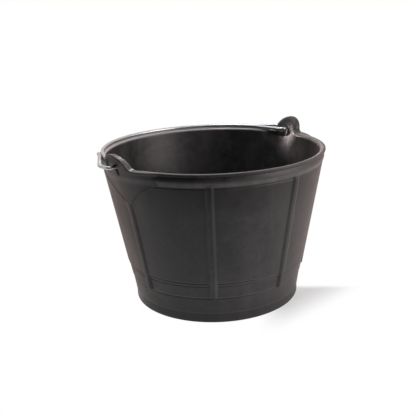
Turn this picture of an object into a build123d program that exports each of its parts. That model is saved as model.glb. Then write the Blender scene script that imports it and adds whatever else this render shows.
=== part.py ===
"""A builder's bucket: one moulding in black rubber, carried by a bail of galvanised wire.

Millimetres and degrees. The origin is the centre of the base, on the ground. +Z points up, and the line
through the holes of the two ears runs along X. The bail lies back on the +Y half of the rim.
"""
import os
from math import asin, atan, cos, radians, sin, sqrt, tan

from build123d import *

# Wall and floor of the moulding
bucket_height = 217.7
wall_radius_at_ground = 119.8
wall_thickness = 5.0
floor_thickness = 9.0
floor_corner_radius = 12.0

# Stepped foot
foot_radius = 120.6
foot_height = 14.0
foot_step = 0.6
foot_edge_radius = 2.5
toe_top = 38.5
toe_recess = 2.0
skirt_top = 57.0
skirt_recess = 1.2
skirt_line_height = 4.0
step_slope = 1.2

# Rim: the band round the wall and the lip on top of it
rim_radius = 160.0
rim_thickness = 8.0
lip_overhang = 1.7
lip_height = 3.6
lip_edge_radius = 1.6
rim_inner_edge_radius = 3.0
band_depth = 20.2
band_step = 2.0
band_ramp = 3.2
band_bead_radius = 4.0
band_hollow = 0.9

# Upright ribs
rib_count = 8
rib_width = 12.0
rib_crest_width = 5.5
rib_height = 2.0
rib_root = 2.0
rib_crest_radius = 2.0

# Shields: below each ear the rib widens until it is flush with the band
shield_half_width = 55.0
shield_depth = 48.7
shield_hollow = 4.0

# Brackets: each ear leans out of the wall, and a scoop in the wall follows it inside
bracket_depth = 32.7
bracket_lean = 20.0
bracket_offset = 72.0
bracket_half_width = 62.0
scoop_depth = 25.7
scoop_offset = 110.0

# Ears
ear_radius = 22.0
ear_rise = 20.2
ear_thickness = 8.0
ear_flare_radius = 8.0
ear_seat = 0.4
ear_edge_radius = 2.2
bead_width = 3.8
bead_height = 1.2
bead_edge_radius = 0.8
hole_width = 8.0
hole_height = 16.5

# Bail
wire_diameter = 5.0
bail_inset = 4.5
bail_rest_gap = 0.3
strand_clearance_inside = 3.5
strand_clearance_outside = 0.8
hole_top_clearance = 1.5
eye_bend_radius = 6.0
neck_reach = 58.0
neck_lead = 6.0
neck_bend_radius = 20.0
tail_straight = 21.5
tail_bend_radius = 16.0
tail_gap = 0.5
tail_touch = 70.0
tail_reach = 84.0

# Worked out from the sizes above
rim_inner_radius = rim_radius - rim_thickness
band_radius = rim_radius - lip_overhang
band_top = bucket_height - lip_height
band_bottom = bucket_height - band_depth
band_edge = band_bottom + band_ramp
wall_draft = atan((band_radius - band_step - wall_radius_at_ground) / band_edge)
slant_thickness = wall_thickness / cos(wall_draft)
inner_knee = (rim_inner_radius + slant_thickness - wall_radius_at_ground) / tan(wall_draft)
shield_tip_height = bucket_height - shield_depth
bracket_bottom = bucket_height - bracket_depth
scoop_bottom = bucket_height - scoop_depth
wire_radius = wire_diameter / 2
bail_radius = rim_radius - bail_inset
hinge_height = bucket_height + bail_rest_gap + wire_radius
hole_top = hinge_height + wire_radius + hole_top_clearance
crown_height = bucket_height + ear_rise


def wall_radius(height):
    """Outside radius of the plain wall at a height."""
    return wall_radius_at_ground + height * tan(wall_draft)


def inner_radius(height):
    """Inside radius of the plain wall at a height."""
    return wall_radius(height) - slant_thickness


def bracket_radius(height):
    """Outside radius of a bracket at its middle, which leaves the shield at the bracket's bottom."""
    bottom_radius = wall_radius(bracket_bottom) + rib_height
    return bottom_radius + (height - bracket_bottom) * tan(radians(bracket_lean))


def scoop_radius(height):
    """Inside radius of a bracket at its middle, from the wall's inside up to the thin crown of the ear."""
    start = inner_radius(scoop_bottom)
    rise = bracket_radius(crown_height) - ear_thickness - start
    return start + rise * (height - scoop_bottom) / (crown_height - scoop_bottom)


def ring(corners, centre=0):
    """Solid of revolution from (radius, height) corners about the upright line through (centre, 0)."""
    return revolve(Plane.XZ * make_face(Polyline(*corners, close=True)), Axis((centre, 0, 0), (0, 0, 1)))


def mirrored(points):
    """The same points on the other side of the outline's middle line, in reverse order."""
    return [Vector(-point.X, point.Y) for point in reversed(points)]


def hollow_side(upper, lower, hollow):
    """Concave side of an outline: an arc that bows towards the outline's middle line."""
    side = upper - lower
    bow = Vector(-side.Y, side.X).normalized() * hollow
    return [upper, (upper + lower) / 2 + bow, lower]


def slab(outline, start, end):
    """Outline drawn in (Y, Z) and run along X from start to end."""
    return extrude(Plane.YZ.offset(start) * make_face(outline), end - start)


def make_shell():
    """Wall, floor, stepped foot, band and lip, revolved from one profile."""
    line_top = skirt_top + skirt_line_height
    line_recess = skirt_recess / 2
    corners = [
        ((0, 0), 0),
        ((foot_radius, 0), foot_edge_radius),
        ((foot_radius, foot_height), 0),
        ((foot_radius + foot_step, foot_height + foot_step), 0),
        ((wall_radius(toe_top) - toe_recess, toe_top), 0),
        ((wall_radius(toe_top + step_slope) - skirt_recess, toe_top + step_slope), 0),
        ((wall_radius(skirt_top) - skirt_recess, skirt_top), 0),
        ((wall_radius(skirt_top + step_slope) - line_recess, skirt_top + step_slope), 0),
        ((wall_radius(line_top) - line_recess, line_top), 0),
        ((wall_radius(line_top + step_slope), line_top + step_slope), 0),
        ((wall_radius(band_bottom), band_bottom), 0),
        ((band_radius, band_edge), band_bead_radius),
        ((band_radius - band_hollow, (band_edge + band_top) / 2), 0),
        ((band_radius, band_top), 0),
        ((rim_radius, band_top + lip_overhang), 0),
        ((rim_radius, bucket_height), lip_edge_radius),
        ((rim_inner_radius, bucket_height), rim_inner_edge_radius),
        ((rim_inner_radius, inner_knee), 0),
        ((inner_radius(floor_thickness), floor_thickness), floor_corner_radius),
        ((0, floor_thickness), 0),
    ]
    points = [point for point, radius in corners]
    radii = [radius for point, radius in corners]
    profile = make_face(FilletPolyline(*points, radius=radii, close=True))
    return revolve(Plane.XZ * profile, Axis.Z)


def make_rib():
    """One upright rib on the +X side: a rounded ridge run up the slope of the wall."""
    slope = (sin(wall_draft), 0, cos(wall_draft))
    section = Plane(origin=(wall_radius(toe_top), 0, toe_top), x_dir=(0, -1, 0), z_dir=slope)
    corners = [
        (-rib_width / 2, -rib_root),
        (rib_width / 2, -rib_root),
        (rib_width / 2, 0),
        (rib_crest_width / 2, rib_height),
        (-rib_crest_width / 2, rib_height),
        (-rib_width / 2, 0),
    ]
    radii = [0, 0, 0, rib_crest_radius, rib_crest_radius, 0]
    outline = make_face(FilletPolyline(*corners, radius=radii, close=True))
    return extrude(section * outline, (band_edge - toe_top) / cos(wall_draft))


def make_shield():
    """The +X shield: a skin as high as the ribs, with concave sides, from its tip to the band."""
    skin = ring(
        [
            (wall_radius(shield_tip_height) - rib_root, shield_tip_height),
            (wall_radius(shield_tip_height) + rib_height, shield_tip_height),
            (wall_radius(band_edge) + rib_height, band_edge),
            (wall_radius(band_edge) - rib_root, band_edge),
        ]
    )
    upper = Vector(shield_half_width, band_edge)
    lower = Vector(rib_width / 2, shield_tip_height)
    side = hollow_side(upper, lower, shield_hollow)
    other = mirrored(side)
    outline = [ThreePointArc(*side), ThreePointArc(*other), Line(side[2], other[0]), Line(side[0], other[2])]
    return skin & slab(outline, bracket_offset, rim_radius)


def bracket_outline(inset):
    """A dome that flares into the lip above a plain block. An inset moves the dome, flare and lip inwards."""
    seat = bucket_height - ear_seat - inset
    dome_height = crown_height - ear_radius
    flare_radius = ear_flare_radius + inset
    flare_rise = seat + flare_radius - dome_height
    flare_middle = sqrt((ear_radius + ear_flare_radius) ** 2 - flare_rise ** 2)
    flare_centre = Vector(flare_middle, seat + flare_radius)
    to_dome = (Vector(0, dome_height) - flare_centre).normalized()
    shoulder = flare_centre + to_dome * flare_radius
    waist = flare_centre + (to_dome + Vector(0, -1)).normalized() * flare_radius
    flare = [Vector(flare_middle, seat), waist, shoulder]
    side = [Vector(bracket_half_width, bracket_bottom), Vector(bracket_half_width, seat), flare[0]]
    return [
        Polyline(*side),
        ThreePointArc(*flare),
        ThreePointArc(shoulder, (0, crown_height - inset), mirrored([shoulder])[0]),
        ThreePointArc(*mirrored(flare)),
        Polyline(*mirrored(side)),
        Line(mirrored(side)[2], side[0]),
    ]


def leaning_block(radius_at, offset, bottom, proud=0):
    """Everything inside a face that leans about an upright line of its own, up to above the ears."""
    top = crown_height + ear_thickness
    corners = [
        (offset, bottom),
        (radius_at(bottom) + proud, bottom),
        (radius_at(top) + proud, top),
        (offset, top),
    ]
    return ring(corners, offset)


def round_edges(ear):
    """Round both edges of an ear's dome and the step behind its bead, all along their run into the lip."""
    step_height = crown_height - bead_width
    steps = [edge for edge in ear.edges() if hole_top < edge.center().Z < step_height + ear_edge_radius]
    ear = fillet(max(steps, key=lambda edge: edge.center().X), bead_edge_radius)
    crowns = [edge for edge in ear.edges() if edge.center().Z > crown_height - bead_edge_radius]
    return fillet(crowns, ear_edge_radius)


def make_cavity():
    """The room inside the bucket, carried on straight up above the rim."""
    top = crown_height + ear_thickness
    corners = [
        (0, floor_thickness),
        (inner_radius(floor_thickness), floor_thickness),
        (rim_inner_radius, inner_knee),
        (rim_inner_radius, top),
        (0, top),
    ]
    return ring(corners)


def make_bracket():
    """The +X ear with its beaded edge, down to where it sinks into the band and the shield."""
    reach = bracket_radius(crown_height + ear_thickness) + bead_height
    whole = slab(bracket_outline(0), bracket_offset, reach)
    web = slab(bracket_outline(bead_width), bracket_offset, reach)
    plate = leaning_block(bracket_radius, bracket_offset, bracket_bottom) & whole
    bead = leaning_block(bracket_radius, bracket_offset, bracket_bottom, bead_height) & (whole - web)
    ear = plate + bead - make_cavity() - leaning_block(scoop_radius, scoop_offset, scoop_bottom)
    return round_edges(ear)


def make_hole():
    """The upright oval hole through the +X ear."""
    oval = Pos(0, hole_top - hole_height / 2) * SlotOverall(hole_height, hole_width, rotation=90)
    return slab(oval, bracket_offset, bracket_radius(crown_height))


def make_bucket_body():
    """The whole moulding as one solid."""
    body = Part() + make_shell()
    rib = make_rib()
    for index in range(rib_count):
        body += Rot(0, 0, index * 360 / rib_count) * rib
    bracket = make_bracket()
    shield = make_shield()
    scoop = leaning_block(scoop_radius, scoop_offset, scoop_bottom)
    hole = make_hole()
    for turn in (0, 180):
        side = Rot(0, 0, turn)
        body = body + side * shield - side * scoop + side * bracket - side * hole
    return body


def make_bail():
    """The wire: a half hoop on the rim, with a closed eye through each ear."""
    eye_inside = scoop_radius(hinge_height - wire_radius) - strand_clearance_inside - wire_radius
    crown_outside = bracket_radius(crown_height - ear_edge_radius) + bead_height
    eye_outside = crown_outside + strand_clearance_outside + wire_radius
    neck_turn = asin(neck_reach / bail_radius)
    neck = Vector(bail_radius * cos(neck_turn), neck_reach)
    kink = neck + Vector(sin(neck_turn), -cos(neck_turn)) * neck_lead
    tail_radius = bail_radius + wire_diameter + tail_gap
    touch_turn = asin(tail_touch / tail_radius)
    touch = Vector(tail_radius * cos(touch_turn), tail_touch)
    end_turn = asin(tail_reach / tail_radius)
    end = Vector(tail_radius * cos(end_turn), tail_reach)
    corners = [neck, kink, Vector(eye_inside, 0), Vector(eye_outside, 0)]
    corners += [Vector(eye_outside, tail_straight), touch, end]
    radii = [neck_bend_radius, eye_bend_radius, eye_bend_radius, tail_bend_radius, tail_bend_radius]
    eye = FilletPolyline(*corners, radius=radii)
    hoop = ThreePointArc(neck, (0, bail_radius), (-neck.X, neck.Y))
    path = Wire(eye.edges() + hoop.edges() + mirror(eye, Plane.YZ).edges())
    lifted = Pos(0, 0, hinge_height) * path
    section = Plane(origin=lifted @ 0, z_dir=lifted % 0) * Circle(wire_radius)
    return sweep(section, lifted)


os.makedirs("parts", exist_ok=True)
export_step(make_bucket_body(), "parts/bucket_body.step")
export_step(make_bail(), "parts/bail.step")
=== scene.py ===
from math import atan2, cos, pi, radians, sin, sqrt, tan

import bpy
import numpy as np
from mathutils import Matrix, Vector


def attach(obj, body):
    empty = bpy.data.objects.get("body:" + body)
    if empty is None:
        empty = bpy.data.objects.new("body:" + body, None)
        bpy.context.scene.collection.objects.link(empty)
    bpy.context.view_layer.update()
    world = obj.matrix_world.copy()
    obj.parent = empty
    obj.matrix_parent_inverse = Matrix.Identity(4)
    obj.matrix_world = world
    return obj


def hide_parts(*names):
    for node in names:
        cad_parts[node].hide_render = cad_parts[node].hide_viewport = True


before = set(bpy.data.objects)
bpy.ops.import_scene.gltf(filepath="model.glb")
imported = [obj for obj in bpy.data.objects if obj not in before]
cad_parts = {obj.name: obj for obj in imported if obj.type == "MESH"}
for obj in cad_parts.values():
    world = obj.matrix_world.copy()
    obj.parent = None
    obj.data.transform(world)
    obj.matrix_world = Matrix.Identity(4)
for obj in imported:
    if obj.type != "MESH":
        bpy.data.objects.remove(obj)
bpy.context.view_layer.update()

# The bucket: one thick moulding in black rubber, in millimetres here. Floor, wall, foot, ribs, rim and both
# ears leave the mould as one piece with soft edges. The mesh is a net of rings, from the middle of the floor
# inside, up over the rim and down the outside to the middle of the base.
wall_height = 217.7
wall_at_ground = 119.8
wall_at_band = 156.3
band_level = 200.7
wall_slope = (wall_at_band - wall_at_ground) / band_level
wall_lean = 10.3
wall_skin = 5.08
floor_level = 9.0
floor_corner = 12.0
foot_radius = 120.6
foot_edge = 2.5
foot_height = 14.0
toe_swell = 0.6
rim_radius = 160.0
rim_inside = 152.0
rim_turn = 6.0
rim_inner_edge = 5.0
rim_outer_edge = 1.4
band_radius = 158.3
band_crest = 207.1
lip_overhang = 2.3
lip_depth = 2.7
lip_run_out = 1.2
rib_height = 2.0
rib_foot = 37.2
rib_run_out = 2.2
rib_below_band = 0.8
rib_crest_half = 2.0
rib_foot_half = 6.8
ear_crown = 237.89
ear_radius = 22.0
ear_flare = 8.0
ear_reach = 166.0
ear_thickness = 8.0
bracket_offset = 72.0
bracket_foot = 185.0
bracket_lean = 20.0
scoop_offset = 110.0
scoop_foot = 192.0
scoop_softness = 4.0
shield_foot = 169.0
shield_foot_half = 6.0
shield_head_half = 55.0
shield_hollow = 4.0
shield_line = 0.9
hole_radius = 3.1
hole_bottom = 208.0
hole_top = 224.5
hole_mouth = 0.6
rib_count = 8
sector = 2.0 * pi / rib_count
rim_arc = rim_radius * sector / 2


def ease(start, end, value):
    """0 before start, 1 after end, and a soft curve between."""
    share = np.clip((value - start) / (end - start), 0.0, 1.0)
    return share * share * (3.0 - 2.0 * share)


def melt(first, second, softness):
    """The larger of two radii, with the corner where they cross filled in softly."""
    share = np.clip(0.5 + 0.5 * (first - second) / softness, 0.0, 1.0)
    return second + (first - second) * share + softness * share * (1.0 - share)


def wall_line(height):
    """Outside radius of the plain tapered wall."""
    return wall_at_ground + height * wall_slope


def outside_profile(height):
    """Outside radius between the ribs: foot, toe, skirt, double line, wall and band."""
    toe = (foot_height + toe_swell, foot_radius + toe_swell)
    knots = [(0.0, foot_radius), (foot_height, foot_radius), toe]
    skirt_steps = [(36.2, -1.9), (37.2, -2.4), (38.4, -2.3), (39.6, -1.2)]
    double_line_steps = [
        (55.6, -1.1), (56.6, -1.6), (57.4, -1.5), (58.3, -0.6),
        (60.0, -0.5), (60.9, -1.0), (61.6, -0.9), (62.5, 0.0),
    ]
    wall_top_steps = [(197.2, 0.0), (198.3, -0.5), (199.7, -0.5)]
    band_steps = [
        (200.5, -1.85), (202.2, -1.3), (204.2, -0.7), (206.0, -0.2), (band_crest, 0.0), (208.2, -0.1),
        (209.6, -0.35), (211.4, -0.8), (213.0, -1.25), (213.8, -1.2), (214.6, -0.6), (260.0, -0.6),
    ]
    for level, step in skirt_steps + double_line_steps + wall_top_steps:
        knots.append((level, wall_line(level) + step))
    for level, step in band_steps:
        knots.append((level, band_radius + step))
    return np.interp(height, [knot[0] for knot in knots], [knot[1] for knot in knots])


def inside_profile(height):
    """Inside radius of the wall, which turns softly upright at the thick rim."""
    return -melt(wall_skin - wall_line(height), -rim_inside, rim_turn)


def ear_face(turn, offset, radius):
    """Radius, seen from the bucket's middle, of a round face about an upright line nearer the ear."""
    reach = np.maximum(radius - offset, 0.0)
    return offset * np.cos(turn) + np.sqrt(np.maximum(reach ** 2 - (offset * np.sin(turn)) ** 2, 1.0))


def bracket_line(height):
    """Outside of an ear and of the bulge below it, at the ear's middle."""
    return wall_line(bracket_foot) + rib_height + (height - bracket_foot) * tan(radians(bracket_lean))


def scoop_line(height):
    """Inside of an ear and of the scoop below it, at the ear's middle."""
    start = wall_line(scoop_foot) - wall_skin
    rise = (bracket_line(ear_crown) - ear_thickness - start) / (ear_crown - scoop_foot)
    return start + (height - scoop_foot) * rise


def shield_half_width(height):
    """Half the width of the shield below an ear, whose sides bow inward and upward."""
    step = np.linspace(0.0, 1.0, 40)
    bow = 4.0 * shield_hollow * step * (1.0 - step)
    bow_inward, bow_upward = 0.546, 0.54
    across = shield_foot_half + (shield_head_half - shield_foot_half) * step - bow_inward * bow
    upward = shield_foot + (band_level - shield_foot) * step + bow_upward * bow
    return np.interp(height, upward, across, left=0.0, right=shield_head_half)


def hole_distance(across, height):
    """Distance outside the edge of the upright oval hole in an ear."""
    nearest = np.clip(height, hole_bottom + hole_radius, hole_top - hole_radius)
    return np.hypot(across, height - nearest) - hole_radius


def mouth_drop(distance):
    """How far the face sinks round the hole, which has a rounded mouth."""
    near = np.clip(1.0 - distance / hole_mouth, 0.0, 0.999)
    return hole_mouth * (1.0 - np.sqrt(1.0 - near ** 2))


def outside_radius(turn, height, inset, is_ear):
    """Outside of the moulding, by the angle from the nearest rib and the distance from the top edge."""
    radius = outside_profile(height)
    crest = wall_line(height) + rib_height
    across = np.abs(crest * np.sin(turn))
    below_crest = height < band_crest
    ridge = 1.0 - ease(rib_crest_half, rib_foot_half, across)
    ridge = ridge * ease(rib_foot, rib_foot + rib_run_out, height)
    rib_limit = np.minimum(crest, band_radius - rib_below_band)
    radius = radius + np.maximum(rib_limit - radius, 0.0) * ridge * below_crest
    margin = shield_half_width(height) - across
    shield_side = 1.1
    foot_start, shield_full, line_full = shield_foot - 1.0, shield_foot + 2.0, shield_foot + 3.0
    shield = 1.0 - ease(-shield_side, shield_side, -margin)
    shield = shield * ease(foot_start, shield_full, height)
    flush = np.maximum(np.minimum(crest, band_radius) - radius, 0.0) * shield * below_crest
    line_rise, line_fall, line_top = (-0.6, 0.8), (1.2, 3.6), (197.0, 200.0)
    edge_line = shield_line * ease(*line_rise, margin) * (1.0 - ease(*line_fall, margin))
    edge_line = edge_line * ease(foot_start, line_full, height)
    edge_line = edge_line * (1.0 - ease(*line_top, height))
    crisp, added_softness, bracket_side = 0.1, 6.9, (0.22, 0.38)
    softness = crisp + added_softness * (1.0 - ease(*bracket_side, np.abs(turn)))
    bracket = ear_face(turn, bracket_offset, bracket_line(height))
    radius = np.where(is_ear, melt(radius + flush + edge_line, bracket, softness), radius)
    radius = radius + lip_overhang * (1.0 - ease(lip_depth, lip_depth + lip_run_out, inset))
    return radius - np.where(is_ear, mouth_drop(hole_distance(radius * np.sin(turn), height)), 0.0)


def inside_radius(turn, height, is_ear):
    """Inside of the moulding."""
    radius = inside_profile(height)
    scoop = ear_face(turn, scoop_offset, scoop_line(height))
    radius = np.where(is_ear, melt(radius, scoop, scoop_softness), radius)
    return radius + np.where(is_ear, mouth_drop(hole_distance(radius * np.sin(turn), height)), 0.0)


def column_angles():
    """Angle of each column's rib, its own angle from that rib, and whether that rib carries an ear."""
    fine_reach, fine_step = 9.0, 0.75
    coarse_count, coarse_growth, ear_count = 15, 1.35, 126
    fine = np.arange(-fine_reach, fine_reach + 0.01, fine_step)
    coarse_share = np.linspace(0.0, 1.0, coarse_count)[1:] ** coarse_growth
    coarse = fine_reach + (rim_arc - fine_reach) * coarse_share
    plain = np.concatenate([-coarse[::-1], fine, coarse[:-1]]) / rim_radius
    ear = np.linspace(-rim_arc, rim_arc, ear_count, endpoint=False) / rim_radius
    centres, turns, ears = [], [], []
    for index in range(rib_count):
        carries_ear = index % (rib_count // 2) == 0
        columns = ear if carries_ear else plain
        centres.append(np.full(len(columns), index * sector))
        turns.append(columns)
        ears.append(np.full(len(columns), carries_ear))
    return np.concatenate(centres), np.concatenate(turns), np.concatenate(ears)


def top_edge(turn, is_ear, inset):
    """Where each column meets the line one inset below the top edge, along the lip and over the ear."""
    dome_level = ear_crown - ear_radius
    flare_level = wall_height + ear_flare
    flare_across = sqrt((ear_radius + ear_flare) ** 2 - (flare_level - dome_level) ** 2)
    dome_end = atan2(flare_across, flare_level - dome_level)
    flare_start = atan2(dome_level - flare_level, -flare_across)
    dome_arc, flare_arc = 24.0, 33.5
    arc = np.abs(turn) * rim_radius
    dome_turn = dome_end * np.clip(arc / dome_arc, 0.0, 1.0)
    flare_share = np.clip((arc - dome_arc) / (flare_arc - dome_arc), 0.0, 1.0)
    flare_turn = flare_start + (-pi / 2 - flare_start) * flare_share
    along = np.clip((arc - flare_arc) / (rim_arc - flare_arc), 0.0, 1.0)
    lip_end = rim_arc * ear_reach / rim_radius
    across = np.where(
        arc < dome_arc, (ear_radius - inset) * np.sin(dome_turn),
        np.where(
            arc < flare_arc, flare_across + (ear_flare + inset) * np.cos(flare_turn),
            flare_across + (lip_end - flare_across) * along,
        ),
    )
    height = np.where(
        arc < dome_arc, dome_level + (ear_radius - inset) * np.cos(dome_turn),
        np.where(
            arc < flare_arc, flare_level + (ear_flare + inset) * np.sin(flare_turn),
            wall_height - inset,
        ),
    )
    level = np.full_like(turn, wall_height - inset)
    return np.where(is_ear, np.sign(turn) * across / ear_reach, turn), np.where(is_ear, height, level)


def blended_row(turn, is_ear, share, last_inset, level):
    """Columns part of the way from the last line below the top edge down to a level ring."""
    edge_turn, edge_height = top_edge(turn, is_ear, last_inset)
    return edge_turn + (turn - edge_turn) * share, edge_height + (level - edge_height) * share


def moulding_rings():
    """Every ring of the net as (x, y, z), from the floor inside to the base outside."""
    centre, turn, is_ear = column_angles()
    last_inset, level, row_step, last_shield_row = 14.0, 186.0, 1.2, 165.0
    corner_rows, inner_blend_rows, inner_edge_rows = 9, 26, 10
    outer_edge_rows, outer_blend_rows, foot_edge_rows = 7, 36, 7
    floor_rows = (14.0, 32.0, 54.0, 76.0, 94.0)
    inside_rows = (24.0, 32.0, 43.0, 57.0, 73.0, 91.0, 110.0, 129.0, 147.0, 162.0, 173.0, 181.0)
    inside_insets = (last_inset, 12.6, 11.2, 9.8, 8.4, 7.3, 6.4, 5.6)
    lip_insets = (1.8, 2.2, 2.5, 2.8, 3.1, 3.4, 3.7, 4.0, 4.4, 5.0, 5.9, 7.0, 8.2, 9.6, 11.0, 12.5)
    shield_rows = np.arange(level - row_step, last_shield_row, -row_step)
    wall_rows = (163.0, 158.0, 150.0, 140.0, 128.0, 115.0, 101.0, 87.0, 75.0, 67.0)
    double_line_rows = (
        63.6, 62.8, 62.4, 62.0, 61.6, 61.2, 60.8, 60.4, 60.0, 59.4,
        58.8, 58.3, 57.8, 57.3, 56.9, 56.5, 56.0, 55.5, 54.8,
    )
    skirt_rows = (53.0, 49.0, 45.0, 42.0, 40.6, 39.9, 39.4, 38.9, 38.4, 37.8, 37.2, 36.7, 36.2, 35.4)
    foot_rows = (33.0, 28.0, 22.0, 17.5, 15.6, 14.9, 14.5, 14.2, 13.9, 13.2, 11.0, 7.0, 4.0)
    base_rows = (108.0, 88.0, 62.0, 34.0, 14.0)
    rings = []

    def ring(radius, ring_turn, height):
        angle = centre + ring_turn
        radius = np.broadcast_to(radius, angle.shape)
        height = np.broadcast_to(height, angle.shape)
        rings.append(np.stack([radius * np.cos(angle), radius * np.sin(angle), height], axis=1))

    def inside(ring_turn, height, rounding=0.0):
        ring(inside_radius(ring_turn, height, is_ear) + rounding, ring_turn, height)

    def outside(ring_turn, height, inset, rounding=0.0):
        ring(outside_radius(ring_turn, height, inset, is_ear) - rounding, ring_turn, height)

    for radius in floor_rows:
        ring(radius, turn, floor_level)
    corner_level = floor_level + floor_corner
    corner_radius = wall_line(corner_level) - wall_skin - floor_corner / cos(radians(wall_lean))
    for slant in np.linspace(-90.0, -wall_lean, corner_rows):
        bend = radians(slant)
        ring(corner_radius + floor_corner * cos(bend), turn, corner_level + floor_corner * sin(bend))
    for height in inside_rows:
        inside(turn, np.full_like(turn, height))
    for share in np.linspace(1.0, 0.0, inner_blend_rows)[:-1]:
        inside(*blended_row(turn, is_ear, share, last_inset, level))
    for inset in inside_insets:
        inside(*top_edge(turn, is_ear, inset))
    for slant in np.linspace(0.0, 90.0, inner_edge_rows):
        bend = radians(slant)
        inset = rim_inner_edge * (1.0 - sin(bend))
        inside(*top_edge(turn, is_ear, inset), rim_inner_edge * (1.0 - cos(bend)))
    for slant in np.linspace(90.0, 0.0, outer_edge_rows):
        bend = radians(slant)
        inset = rim_outer_edge * (1.0 - sin(bend))
        outside(*top_edge(turn, is_ear, inset), inset, rim_outer_edge * (1.0 - cos(bend)))
    for inset in lip_insets:
        outside(*top_edge(turn, is_ear, inset), inset)
    for share in np.linspace(0.0, 1.0, outer_blend_rows):
        outside(*blended_row(turn, is_ear, share, last_inset, level), last_inset)
    for height in (*shield_rows, *wall_rows, *double_line_rows, *skirt_rows, *foot_rows):
        outside(turn, np.full_like(turn, height), last_inset)
    for slant in np.linspace(0.0, -90.0, foot_edge_rows):
        bend = radians(slant)
        ring(foot_radius - foot_edge + foot_edge * cos(bend), turn, foot_edge + foot_edge * sin(bend))
    for radius in base_rows:
        ring(radius, turn, 0.0)
    return rings


def net_mesh(name, rings, first_middle, last_middle):
    """A closed mesh from rings of equal count, with a fan at each end."""
    count = len(rings[0])
    points = np.concatenate(rings + [np.array([first_middle, last_middle])]) / 1000.0
    here = np.arange(count)
    ahead = (here + 1) % count
    faces = []
    for row in range(len(rings) - 1):
        low, high = row * count, (row + 1) * count
        faces += np.stack([low + here, high + here, high + ahead, low + ahead], axis=1).tolist()
    first, last = len(rings) * count, len(rings) * count + 1
    top = (len(rings) - 1) * count
    faces += np.stack([here, ahead, np.full(count, first)], axis=1).tolist()
    faces += np.stack([top + ahead, top + here, np.full(count, last)], axis=1).tolist()
    mesh = bpy.data.meshes.new(name)
    mesh.from_pydata(points.tolist(), [], faces)
    mesh.update()
    return mesh


def hole_cutters():
    """Two upright oval bars that punch the holes of the ears."""
    bar_start, bar_end, arc_points = 130.0, 195.0, 25
    outline = []
    for bend in np.linspace(0.0, pi, arc_points):
        outline.append((hole_radius * cos(bend), hole_top - hole_radius + hole_radius * sin(bend)))
    for bend in np.linspace(pi, 2.0 * pi, arc_points):
        outline.append((hole_radius * cos(bend), hole_bottom + hole_radius + hole_radius * sin(bend)))
    count = len(outline)
    points, faces = [], []
    for start, end in ((bar_start, bar_end), (-bar_end, -bar_start)):
        base = len(points)
        points += [(start / 1000, y / 1000, z / 1000) for y, z in outline]
        points += [(end / 1000, y / 1000, z / 1000) for y, z in outline]
        faces.append([base + index for index in reversed(range(count))])
        faces.append([base + count + index for index in range(count)])
        for index in range(count):
            after = (index + 1) % count
            faces.append([base + index, base + after, base + count + after, base + count + index])
    mesh = bpy.data.meshes.new("hole_cutters")
    mesh.from_pydata(points, [], faces)
    cutters = bpy.data.objects.new("hole_cutters", mesh)
    bpy.context.collection.objects.link(cutters)
    return cutters


smooth_below = radians(50.0)


def punch_holes(body):
    """Cut the ear holes and keep the result as the body's own mesh."""
    cutters = hole_cutters()
    cut = body.modifiers.new("ear_holes", "BOOLEAN")
    cut.operation = "DIFFERENCE"
    cut.solver = "EXACT"
    cut.object = cutters
    shaped = body.evaluated_get(bpy.context.evaluated_depsgraph_get())
    mesh = bpy.data.meshes.new_from_object(shaped)
    body.modifiers.remove(cut)
    body.data = mesh
    bpy.data.objects.remove(cutters)
    mesh.shade_smooth()
    mesh.set_sharp_from_angle(angle=smooth_below)


def node(tree, kind, **values):
    """Add a shader node and set its named inputs."""
    made = tree.nodes.new(kind)
    for name, value in values.items():
        made.inputs[name.replace("_", " ")].default_value = value
    return made


def noise(tree, place, scale, detail, roughness):
    """A cloudy pattern from 0 to 1."""
    made = node(tree, "ShaderNodeTexNoise", Scale=scale, Detail=detail, Roughness=roughness)
    tree.links.new(place, made.inputs["Vector"])
    return made.outputs["Fac"]


def ramp(tree, value, stops):
    """Colours by the given (position, colour) stops."""
    made = tree.nodes.new("ShaderNodeValToRGB")
    band = made.color_ramp
    while len(band.elements) < len(stops):
        band.elements.new(0.5)
    for element, (position, colour) in zip(band.elements, stops):
        element.position = position
        element.color = (*colour, 1.0)
    tree.links.new(value, made.inputs["Fac"])
    return made.outputs["Color"]


def tones(tree, value, stops):
    """Greys by the given (position, tone) stops."""
    return ramp(tree, value, [(position, (tone, tone, tone)) for position, tone in stops])


def spread(tree, value, start, end, low=0.0, high=1.0, clamp=True):
    """A value between start and end, carried over to low and high."""
    made = node(tree, "ShaderNodeMapRange", From_Min=start, From_Max=end, To_Min=low, To_Max=high)
    made.clamp = clamp
    tree.links.new(value, made.inputs["Value"])
    return made.outputs["Result"]


def combine(tree, operation, first, second):
    """A maths node fed by two sockets."""
    made = tree.nodes.new("ShaderNodeMath")
    made.operation = operation
    tree.links.new(first, made.inputs[0])
    tree.links.new(second, made.inputs[1])
    return made.outputs[0]


def blend(tree, factor, first, second, kind="RGBA", mode="MIX"):
    """A mix of two colours or values, each a socket or a constant."""
    made = tree.nodes.new("ShaderNodeMix")
    made.data_type = kind
    made.blend_type = mode
    for name, value in (("Factor", factor), ("A", first), ("B", second)):
        if isinstance(value, bpy.types.NodeSocket):
            tree.links.new(value, made.inputs[name])
        else:
            made.inputs[name].default_value = value
    return made.outputs["Result"]


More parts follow.
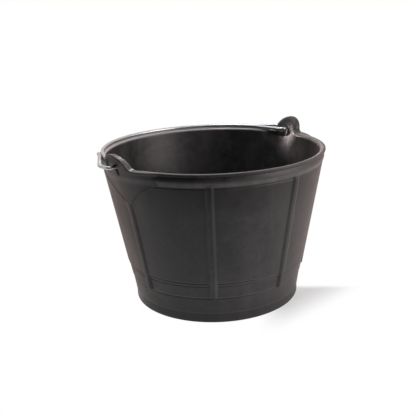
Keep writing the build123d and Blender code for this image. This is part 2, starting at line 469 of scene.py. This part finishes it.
def black_rubber():
    """Moulded black rubber in metres: cloudy grain, upright rub marks, a low sheen, edges paler partly by
    wear and partly as painted highlight, painted highlights on the band's bead and under the bail, and
    painted shade in creases, near the ground and below the band.
    """
    material = bpy.data.materials.new("black_rubber")
    material.use_nodes = True
    tree = material.node_tree
    link = tree.links.new
    shader = tree.nodes["Principled BSDF"]
    place = tree.nodes.new("ShaderNodeTexCoord").outputs["Object"]
    axes = tree.nodes.new("ShaderNodeSeparateXYZ")
    upright = node(tree, "ShaderNodeMapping", Scale=(70.0, 70.0, 7.0))
    link(place, axes.inputs["Vector"])
    link(place, upright.inputs["Vector"])
    height = axes.outputs["Z"]
    cloud = noise(tree, place, scale=22.0, detail=4.0, roughness=0.80)
    rubbed = noise(tree, upright.outputs["Vector"], scale=1.0, detail=2.0, roughness=0.6)
    grain = noise(tree, place, scale=900.0, detail=3.0, roughness=0.6)
    skin = noise(tree, place, scale=75.0, detail=2.0, roughness=0.5)

    middle_of_wall, crossing = 0.1173, 0.0005
    rim_zone, ear_zone, rest_zone = (0.2135, 0.2158), (0.2195, 0.2180), (-0.010, 0.030)
    edge_bend, crease_bend = (0.503, 0.518), (0.496, 0.480)
    flat = node(tree, "ShaderNodeMapping", Scale=(1.0, 1.0, 0.0))
    reach = tree.nodes.new("ShaderNodeVectorMath")
    reach.operation = "LENGTH"
    link(place, flat.inputs["Vector"])
    link(flat.outputs["Vector"], reach.inputs[0])
    middle_at_one_metre = middle_of_wall + wall_slope
    taper = spread(tree, height, 0.0, 1.0, low=middle_of_wall, high=middle_at_one_metre, clamp=False)
    depth = combine(tree, "SUBTRACT", taper, reach.outputs["Value"])
    inner = spread(tree, depth, -crossing, crossing)
    outer = spread(tree, inner, 0.0, 1.0, low=1.0, high=0.0)
    near_rim = spread(tree, height, *rim_zone)
    below_ear = spread(tree, height, *ear_zone)
    rest_side = spread(tree, axes.outputs["Y"], *rest_zone, low=0.0, high=0.85)
    inner_lip = combine(tree, "MULTIPLY", inner, near_rim)
    under_bail = combine(tree, "MULTIPLY", inner_lip, below_ear)
    # Painted highlight: a pale line along the rim's inner lip on the side where the bail rests.
    bail_highlight = combine(tree, "MULTIPLY", rest_side, under_bail)
    bend = tree.nodes.new("ShaderNodeNewGeometry").outputs["Pointiness"]
    edge = spread(tree, bend, *edge_bend)
    crease = spread(tree, bend, *crease_bend)

    deep_black, faded_black = (0.0085, 0.0088, 0.0093), (0.0270, 0.0272, 0.0278)
    no_bloom, full_bloom = (0.0, 0.0, 0.0), (0.012, 0.0112, 0.0112)
    # Colours for painted light and shade: pale grey for the bead highlight, near-black for crease shade,
    # pale grey for worn edges with painted highlight, and a paler grey for the painted highlight under the
    # bail.
    bead_light_grey, crease_shade_black = (0.105, 0.103, 0.102, 1.0), (0.009, 0.009, 0.009, 1.0)
    edge_wear_and_highlight_grey, bail_highlight_grey = (0.034, 0.0335, 0.033, 1.0), (0.46, 0.455, 0.45, 1.0)
    band_zone = (0.1925, 0.2125)
    tint = ramp(tree, cloud, [(0.36, deep_black), (0.64, faded_black)])
    bloom = ramp(tree, rubbed, [(0.52, no_bloom), (0.85, full_bloom)])
    plain = blend(tree, 1.0, tint, bloom, mode="ADD")
    # Painted highlight: a pale patchy strip on the outside of the band's lower bead, where light falls on
    # it.
    at_band = spread(tree, height, *band_zone)
    bead_light_band = tones(tree, at_band, [(0.36, 0.0), (0.46, 1.0), (0.68, 0.9), (0.84, 0.0)])
    bead_light_outside = blend(tree, inner, bead_light_band, 0.0, kind="FLOAT")
    bead_light = combine(tree, "MULTIPLY", bead_light_outside, rubbed)
    with_bead_light = blend(tree, bead_light, plain, bead_light_grey)
    # Convex edges turn paler, partly as wear and partly as painted highlight; under the bail the paler grey
    # is the painted highlight.
    wear_and_highlight_grey = blend(tree, under_bail, edge_wear_and_highlight_grey, bail_highlight_grey)
    wear_and_highlight = combine(tree, "MAXIMUM", combine(tree, "MULTIPLY", edge, rubbed), bail_highlight)
    worn_and_highlighted = blend(tree, wear_and_highlight, with_bead_light, wear_and_highlight_grey)
    # Painted shade: the colour goes near-black in creases and hollows.
    crease_shaded = blend(tree, crease, worn_and_highlighted, crease_shade_black)
    # Painted shade: the outside goes darker towards the ground and in a strip just below the band.
    rise = spread(tree, height, 0.0, wall_height / 1000.0)
    height_shade = tones(tree, rise, [(0.0, 0.45), (0.18, 1.0), (0.72, 1.0), (0.895, 0.50), (0.91, 1.0)])
    link(blend(tree, outer, crease_shaded, height_shade, mode="MULTIPLY"), shader.inputs["Base Color"])

    patches = blend(tree, 0.2, cloud, rubbed, kind="FLOAT")
    dullness = spread(tree, patches, 0.30, 0.70, low=0.38, high=0.64)
    smooth_inside = spread(tree, inner, 0.0, 1.0, low=1.0, high=0.78)
    face_dullness = combine(tree, "MULTIPLY", dullness, smooth_inside)
    edge_dullness = spread(tree, inner_lip, 0.0, 1.0, low=0.50, high=0.12)
    link(blend(tree, edge, face_dullness, edge_dullness, kind="FLOAT"), shader.inputs["Roughness"])

    fine = node(tree, "ShaderNodeBump", Strength=0.25, Distance=0.0003)
    soft = node(tree, "ShaderNodeBump", Strength=0.25, Distance=0.0010)
    link(grain, fine.inputs["Height"])
    link(skin, soft.inputs["Height"])
    link(fine.outputs["Normal"], soft.inputs["Normal"])
    link(soft.outputs["Normal"], shader.inputs["Normal"])
    shader.inputs["Specular IOR Level"].default_value = 0.34
    shader.inputs["Sheen Weight"].default_value = 0.11
    shader.inputs["Sheen Roughness"].default_value = 0.5
    shader.inputs["Sheen Tint"].default_value = (1.0, 0.80, 0.77, 1.0)
    return material


body_mesh = net_mesh("bucket_moulding", moulding_rings(), (0.0, 0.0, floor_level), (0.0, 0.0, 0.0))
body = bpy.data.objects.new("bucket_moulding", body_mesh)
bpy.context.collection.objects.link(body)
punch_holes(body)
body.data.materials.clear()
body.data.materials.append(black_rubber())
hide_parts("bucket_body")
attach(body, "bucket")

# The bail: one length of galvanised steel wire, bent to a half hoop that lies on the rim. Each end goes
# out through an ear, turns back outside it and closes against the hoop as a long eye.
wire_radius = 2.5
bail_level = 220.5
bail_radius = 155.5
neck_reach = 58.0
kink_length = 6.0
eye_level = 218.0
eye_room = 6.0
eye_inside = scoop_line(eye_level) - eye_room
bead_level = 235.7
ear_bead = 1.2
eye_gap = 0.8
eye_outside = bracket_line(bead_level) + ear_bead + eye_gap + wire_radius
eye_length = 21.5
tail_offset = 5.5
tail_radius = bail_radius + tail_offset
touch_reach = 70.0
tail_reach = 84.0
neck_bend = 20.0
eye_bend = 6.0
tail_bend = 16.0
bend_step = radians(7.0)
hoop_points = 120
least_step = 0.05
end_chamfer = 0.45
end_share = 0.72


def bent_wire(corners, radii):
    """Points along straight runs whose corners are bent to the given radii."""
    points = [Vector(corners[0])]
    for before, corner, after, radius in zip(corners, corners[1:], corners[2:], radii):
        before, corner, after = Vector(before), Vector(corner), Vector(after)
        into, out = (before - corner).normalized(), (after - corner).normalized()
        half = into.angle(out) / 2
        middle = corner + (into + out).normalized() * (radius / sin(half))
        first = corner + into * (radius / tan(half))
        last = corner + out * (radius / tan(half))
        sweep = (first - middle).angle_signed(last - middle)
        steps = max(4, int(abs(sweep) / bend_step))
        for step in range(steps + 1):
            points.append(middle + Matrix.Rotation(-sweep * step / steps, 2) @ (first - middle))
    points.append(Vector(corners[-1]))
    return points


def bail_path():
    """The wire's middle line from end to end."""
    neck_turn = np.arcsin(neck_reach / bail_radius)
    touch_turn = np.arcsin(touch_reach / tail_radius)
    end_turn = np.arcsin(tail_reach / tail_radius)
    neck = Vector((bail_radius * cos(neck_turn), neck_reach))
    kink = neck + Vector((sin(neck_turn), -cos(neck_turn))) * kink_length
    touch = (tail_radius * cos(touch_turn), touch_reach)
    end = (tail_radius * cos(end_turn), tail_reach)
    corners = [neck, kink, (eye_inside, 0.0), (eye_outside, 0.0), (eye_outside, eye_length), touch, end]
    eye = bent_wire(corners, [neck_bend, eye_bend, eye_bend, tail_bend, tail_bend])
    hoop = []
    for turn in np.linspace(neck_turn, pi - neck_turn, hoop_points)[1:-1]:
        hoop.append(Vector((bail_radius * cos(turn), bail_radius * sin(turn))))
    other = [Vector((-point.x, point.y)) for point in eye]
    return list(reversed(eye)) + hoop + other


def wire_rings(path, sides=20):
    """Rings round the middle line, with a small chamfer where each end is cut off."""
    points = [path[0]]
    for point in path[1:]:
        if (point - points[-1]).length > least_step:
            points.append(point)
    rings = []
    for index, point in enumerate(points):
        before, after = points[max(index - 1, 0)], points[min(index + 1, len(points) - 1)]
        run = (after - before).normalized()
        side = Vector((run.y, -run.x, 0.0))
        if index == 0:
            cuts = [(0.0, end_share), (end_chamfer, 1.0)]
        elif index == len(points) - 1:
            cuts = [(-end_chamfer, 1.0), (0.0, end_share)]
        else:
            cuts = [(0.0, 1.0)]
        for shift, share in cuts:
            middle = Vector((point.x + run.x * shift, point.y + run.y * shift, bail_level))
            ring = []
            for step in range(sides):
                bend = 2.0 * pi * step / sides
                offset = side * cos(bend) + Vector((0.0, 0.0, 1.0)) * sin(bend)
                ring.append(middle + offset * (wire_radius * share))
            rings.append(np.array(ring))
    return rings, points


def galvanised_wire():
    """Hot-dipped wire: dull zinc with a cloudy spangle and small runs."""
    material = bpy.data.materials.new("galvanised_wire")
    material.use_nodes = True
    tree = material.node_tree
    link = tree.links.new
    shader = tree.nodes["Principled BSDF"]
    place = tree.nodes.new("ShaderNodeTexCoord").outputs["Object"]
    spangle = node(tree, "ShaderNodeTexVoronoi", Scale=260.0)
    link(place, spangle.inputs["Vector"])
    cloud = noise(tree, place, scale=120.0, detail=4.0, roughness=0.6)
    runs = noise(tree, place, scale=420.0, detail=3.0, roughness=0.55)
    mottle = blend(tree, 0.35, cloud, spangle.outputs["Distance"], kind="FLOAT")
    dark_zinc, light_zinc = (0.36, 0.377, 0.390), (0.55, 0.572, 0.590)
    zinc = ramp(tree, mottle, [(0.25, dark_zinc), (0.75, light_zinc)])
    link(zinc, shader.inputs["Base Color"])
    link(spread(tree, cloud, 0.3, 0.7, low=0.32, high=0.48), shader.inputs["Roughness"])
    bump = node(tree, "ShaderNodeBump", Strength=0.3, Distance=0.0004)
    link(runs, bump.inputs["Height"])
    link(bump.outputs["Normal"], shader.inputs["Normal"])
    shader.inputs["Metallic"].default_value = 1.0
    return material


bail_rings, bail_points = wire_rings(bail_path())
bail_ends = [(point.x, point.y, bail_level) for point in (bail_points[0], bail_points[-1])]
bail = bpy.data.objects.new("bail_wire", net_mesh("bail_wire", bail_rings, *bail_ends))
bpy.context.collection.objects.link(bail)
bail.data.shade_smooth()
bail.data.set_sharp_from_angle(angle=smooth_below)
bail.data.materials.append(galvanised_wire())
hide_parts("bail")
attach(bail, "handle")

# The studio, in metres: a white paper floor that runs up behind into a white backdrop, two soft boxes, and
# a narrow lamp for the shine on each ear. The camera and the gloss see the paper as white, and it shows the
# soft shadow beside and behind the bucket.
camera_azimuth = -42.9


def white_sweep():
    """Floor and backdrop as one curved sheet, turned to face the camera."""
    half_width, back, front, bend, top = 3.0, 1.6, -0.39, 0.6, 2.6
    floor, bend_points = -0.0002, 16
    profile = [(front, floor), (0.0, floor)]
    for turn in np.linspace(0.0, pi / 2, bend_points):
        profile.append((back - bend + bend * sin(turn), floor + bend - bend * cos(turn)))
    profile.append((back, top))
    points = [(x, y, z) for x in (-half_width, half_width) for y, z in profile]
    count = len(profile)
    faces = [(count + row, count + row + 1, row + 1, row) for row in range(count - 1)]
    mesh = bpy.data.meshes.new("white_sweep")
    mesh.from_pydata(points, [], faces)
    mesh.shade_smooth()
    sweep = bpy.data.objects.new("white_sweep", mesh)
    bpy.context.collection.objects.link(sweep)
    sweep.rotation_euler = (0.0, 0.0, radians(camera_azimuth))
    return sweep


def mirror_rays(tree, ray):
    """1 for the rays by which gloss sees the studio."""
    return combine(tree, "MAXIMUM", ray.outputs["Is Glossy Ray"], ray.outputs["Is Transmission Ray"])


def soft_step(tree, place, direction, start, end):
    """0 to 1, softly, from start to end along a direction."""
    along = tree.nodes.new("ShaderNodeVectorMath")
    along.operation = "DOT_PRODUCT"
    along.inputs[1].default_value = direction
    step = node(tree, "ShaderNodeMapRange", From_Min=start, From_Max=end)
    step.interpolation_type = "SMOOTHSTEP"
    tree.links.new(place, along.inputs[0])
    tree.links.new(along.outputs["Value"], step.inputs["Value"])
    return step.outputs["Result"]


def light(tree, strength, colour=(1.0, 1.0, 1.0)):
    """Paper that glows by itself."""
    return node(tree, "ShaderNodeEmission", Color=(*colour, 1.0), Strength=strength).outputs[0]


def both(tree, first, second):
    """Two shaders added up."""
    made = tree.nodes.new("ShaderNodeAddShader")
    tree.links.new(first, made.inputs[0])
    tree.links.new(second, made.inputs[1])
    return made.outputs[0]


def either(tree, factor, first, second):
    """The first shader where the factor is 0 and the second where it is 1."""
    made = tree.nodes.new("ShaderNodeMixShader")
    tree.links.new(factor, made.inputs[0])
    tree.links.new(first, made.inputs[1])
    tree.links.new(second, made.inputs[2])
    return made.outputs[0]


def all_of(tree, product, *others):
    """Several steps multiplied: 1 only where each of them is 1."""
    for other in others:
        product = combine(tree, "MULTIPLY", product, other)
    return product


def paper_white():
    """White paper with the shadow beside and behind the bucket, warm only in the gloss of its sides."""
    material = bpy.data.materials.new("paper_white")
    material.use_nodes = True
    tree = material.node_tree
    tree.nodes.clear()
    output = tree.nodes.new("ShaderNodeOutputMaterial")
    ray = tree.nodes.new("ShaderNodeLightPath")
    place = tree.nodes.new("ShaderNodeTexCoord").outputs["Object"]
    paper = node(tree, "ShaderNodeBsdfDiffuse", Color=(0.80, 0.80, 0.80, 1.0)).outputs[0]
    white = light(tree, strength=1.0)
    warm = light(tree, strength=1.0, colour=(1.0, 0.84, 0.80))
    shaded = both(tree, paper, light(tree, strength=0.25, colour=(0.92, 0.985, 1.0)))
    bounced = both(tree, paper, light(tree, strength=0.4))

    to_right, to_left, to_back = (1.0, 0.0, 0.0), (-1.0, 0.0, 0.0), (0.0, 1.0, 0.0)
    across_back, across_front = (0.083, 1.0, 0.0), (-0.669, 0.743, 0.0)
    wedge = all_of(
        tree,
        soft_step(tree, place, across_back, 0.009, -0.008),
        soft_step(tree, place, across_front, -0.172, -0.108),
        soft_step(tree, place, to_right, 0.050, 0.105),
    )
    rear = all_of(
        tree,
        soft_step(tree, place, to_right, -0.118, -0.070),
        soft_step(tree, place, to_left, -0.118, -0.070),
        soft_step(tree, place, to_back, 0.0, 0.030),
        soft_step(tree, place, to_back, 0.30, 0.13),
    )
    shadow = combine(tree, "MAXIMUM", wedge, rear)
    back = soft_step(tree, place, to_back, -0.14, 0.04)
    right = soft_step(tree, place, to_right, 0.08, 0.20)
    left = soft_step(tree, place, to_left, 0.08, 0.20)
    sides = all_of(tree, back, combine(tree, "MAXIMUM", left, right))

    from_camera = ray.outputs["Is Camera Ray"]
    seen_white = either(tree, from_camera, either(tree, sides, white, warm), white)
    seen_paper = either(tree, shadow, seen_white, shaded)
    seen = combine(tree, "MAXIMUM", from_camera, mirror_rays(tree, ray))
    tree.links.new(either(tree, seen, bounced, seen_paper), output.inputs["Surface"])
    return material


sweep = white_sweep()
sweep.data.materials.append(paper_white())


def studio_air():
    """The rest of the white studio. Gloss sees it as white too, but for the dim room behind the camera."""
    air = bpy.data.worlds.new("studio_air")
    air.use_nodes = True
    tree = air.node_tree
    around = tree.nodes["Background"]
    around.inputs["Color"].default_value = (1.0, 1.0, 1.0, 1.0)
    place = tree.nodes.new("ShaderNodeTexCoord").outputs["Generated"]
    ray = tree.nodes.new("ShaderNodeLightPath")
    toward = (sin(radians(camera_azimuth)), -cos(radians(camera_azimuth)), 0.0)
    room_light = 0.06
    lit_side = soft_step(tree, place, toward, 0.3, -0.2)
    mirrored = combine(tree, "MULTIPLY", mirror_rays(tree, ray), lit_side)
    seen = combine(tree, "MAXIMUM", ray.outputs["Is Camera Ray"], mirrored)
    tree.links.new(spread(tree, seen, 0.0, 1.0, low=room_light, high=1.0), around.inputs["Strength"])
    return air


bpy.context.scene.world = studio_air()


def soft_box(name, target, azimuth, elevation, distance, size, watts, colour, spread_angle=180.0):
    """A soft box that looks at a target, placed by its angle from the camera."""
    lamp = bpy.data.lights.new(name, "AREA")
    lamp.shape = "RECTANGLE"
    lamp.size, lamp.size_y = size
    lamp.energy = watts
    lamp.color = colour
    lamp.spread = radians(spread_angle)
    holder = bpy.data.objects.new(name, lamp)
    bpy.context.collection.objects.link(holder)
    turn, lift = radians(camera_azimuth + azimuth), radians(elevation)
    away = Vector((sin(turn) * cos(lift), -cos(turn) * cos(lift), sin(lift)))
    holder.location = Vector(target) + away * distance
    holder.rotation_euler = (-away).to_track_quat("-Z", "Y").to_euler()


middle = (0.0, 0.0, 0.11)
far_ear = (0.153, -0.011, 0.204)
near_ear = (-0.166, -0.018, 0.228)
soft_box(
    "top_box", middle, azimuth=-100.0, elevation=81.0, distance=1.5,
    size=(0.6, 0.6), watts=12.0, colour=(1.0, 1.0, 1.0),
)
soft_box(
    "right_box", middle, azimuth=68.0, elevation=18.0, distance=1.6,
    size=(1.0, 0.7), watts=24.0, colour=(1.0, 0.90, 0.90),
)
soft_box(
    "left_snoot", far_ear, azimuth=-119.0, elevation=22.0, distance=1.5,
    size=(0.03, 0.03), watts=0.0056, colour=(1.0, 0.86, 0.84), spread_angle=1.6,
)
soft_box(
    "back_snoot", near_ear, azimuth=150.0, elevation=43.0, distance=1.5,
    size=(0.10, 0.10), watts=0.030, colour=(1.0, 1.0, 1.0), spread_angle=4.0,
)

# The camera stands where the photograph was taken: a little above the rim, turned so that one ear is near
# on the left and the other far on the right, and held slightly out of level. Its shift is in pixels.
photo_width = 415.0
shift_right = -7.3
shift_up = 11.8
camera_lift = 18.15
camera_distance = 0.990
camera_roll = -1.95
aim = Vector((0.0, 0.0, 0.10885))
camera = bpy.data.cameras.new("camera")
camera.lens = 58.0
camera.sensor_width = 36.0
camera.shift_x = shift_right / photo_width
camera.shift_y = shift_up / photo_width
camera.clip_start = 0.05
viewer = bpy.data.objects.new("camera", camera)
bpy.context.collection.objects.link(viewer)
turn, lift = radians(camera_azimuth), radians(camera_lift)
away = Vector((sin(turn) * cos(lift), -cos(turn) * cos(lift), sin(lift)))
viewer.location = aim + away * camera_distance
level_view = (-away).to_track_quat("-Z", "Y").to_matrix()
viewer.rotation_euler = (level_view @ Matrix.Rotation(radians(camera_roll), 3, "Z")).to_euler()
bpy.context.scene.camera = viewer
bpy.context.scene.view_settings.view_transform = "Standard"
